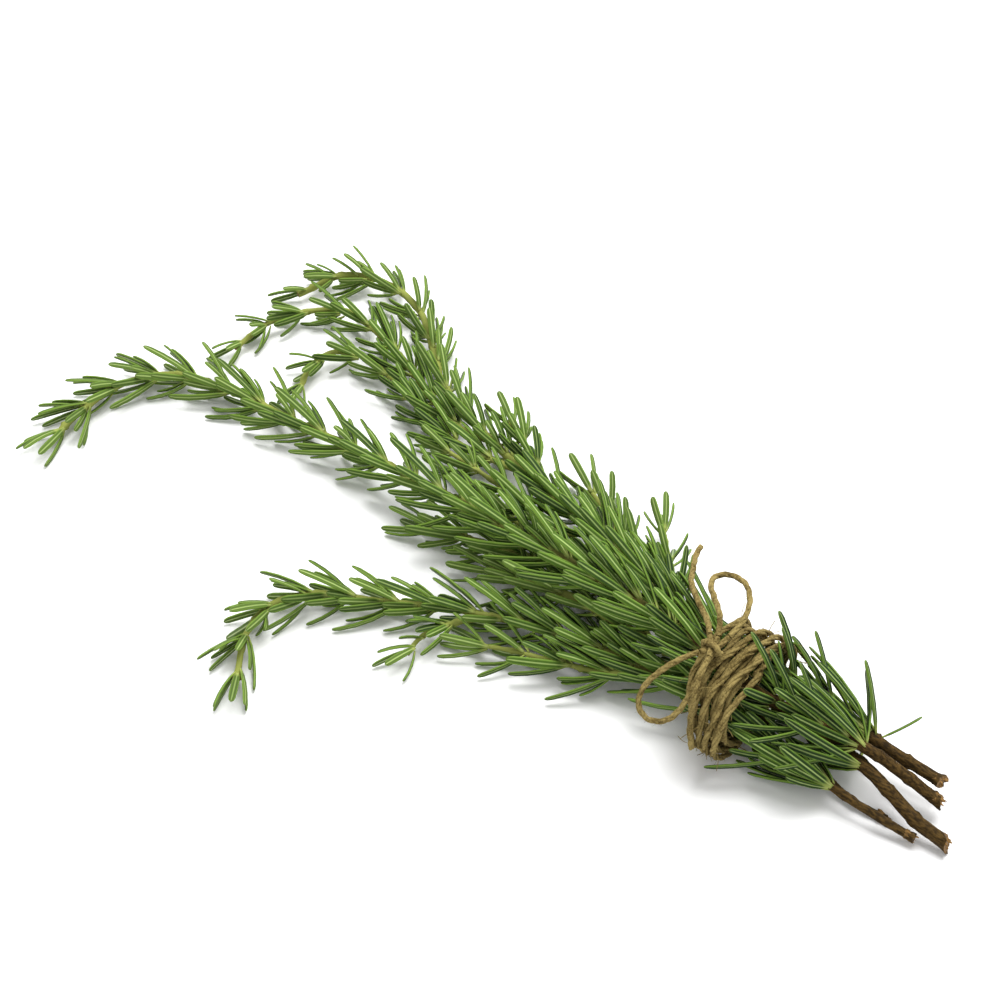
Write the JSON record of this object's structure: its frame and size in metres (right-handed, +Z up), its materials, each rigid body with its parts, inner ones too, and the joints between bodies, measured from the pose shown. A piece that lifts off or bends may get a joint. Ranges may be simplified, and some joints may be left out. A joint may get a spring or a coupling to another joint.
{
  "type": "rosemary bundle",
  "caption": "Bunch of cut rosemary sprigs with needle leaves, bound near the cut stems with wound twine and a small bow.",
  "frame": {"origin": "middle of the bunch's footprint, on the surface it lies on", "axes": "+X along the bunch towards the cut ends of the stems, +Z up"},
  "size_m": [0.3394, 0.1878, 0.0456],
  "materials": {
    "bark": "rough, matt brown bark turning green towards the tips",
    "leaf": "leathery leaf with a soft sheen above and a pale felted underside",
    "twine": "twisted natural jute with loose fibres"
  },
  "bodies": {
    "root": {"sprig_1_stem": "bark", "sprig_1_leaves_1": "leaf", "sprig_1_leaves_2": "leaf", "sprig_1_leaves_3": "leaf", "sprig_1_leaves_4": "leaf", "sprig_1_leaves_5": "leaf", "sprig_1_leaves_6": "leaf", "sprig_2_stem": "bark", "sprig_2_leaves_1": "leaf", "sprig_2_leaves_2": "leaf", "sprig_2_leaves_3": "leaf", "sprig_2_leaves_4": "leaf", "sprig_2_leaves_5": "leaf", "sprig_2_leaves_6": "leaf", "sprig_2_branch_a_leaves_1": "leaf", "sprig_2_branch_a_leaves_2": "leaf", "sprig_2_branch_b_leaves_1": "leaf", "sprig_2_branch_b_leaves_2": "leaf", "sprig_2_shoot_a_leaves_1": "leaf", "sprig_2_shoot_b_leaves_1": "leaf", "sprig_3_stem": "bark", "sprig_3_leaves_1": "leaf", "sprig_3_leaves_2": "leaf", "sprig_3_leaves_3": "leaf", "sprig_3_leaves_4": "leaf", "sprig_3_branch_a_leaves_1": "leaf", "sprig_3_shoot_a_leaves_1": "leaf", "sprig_4_stem": "bark", "sprig_4_leaves_1": "leaf", "sprig_4_leaves_2": "leaf", "sprig_4_leaves_3": "leaf", "sprig_4_branch_a_leaves_1": "leaf", "sprig_4_branch_a_leaves_2": "leaf", "sprig_5_stem": "bark", "sprig_5_leaves_1": "leaf", "sprig_5_leaves_2": "leaf", "sprig_5_leaves_3": "leaf", "sprig_5_branch_a_leaves_1": "leaf", "sprig_5_branch_a_leaves_2": "leaf", "sprig_5_shoot_a_leaves_1": "leaf", "twine_wraps": "twine", "twine_knot": "twine", "twine_loop_upper": "twine", "twine_loop_lower": "twine", "twine_tail_upper": "twine", "twine_tail_lower": "twine"}
  },
  "joints": []
}
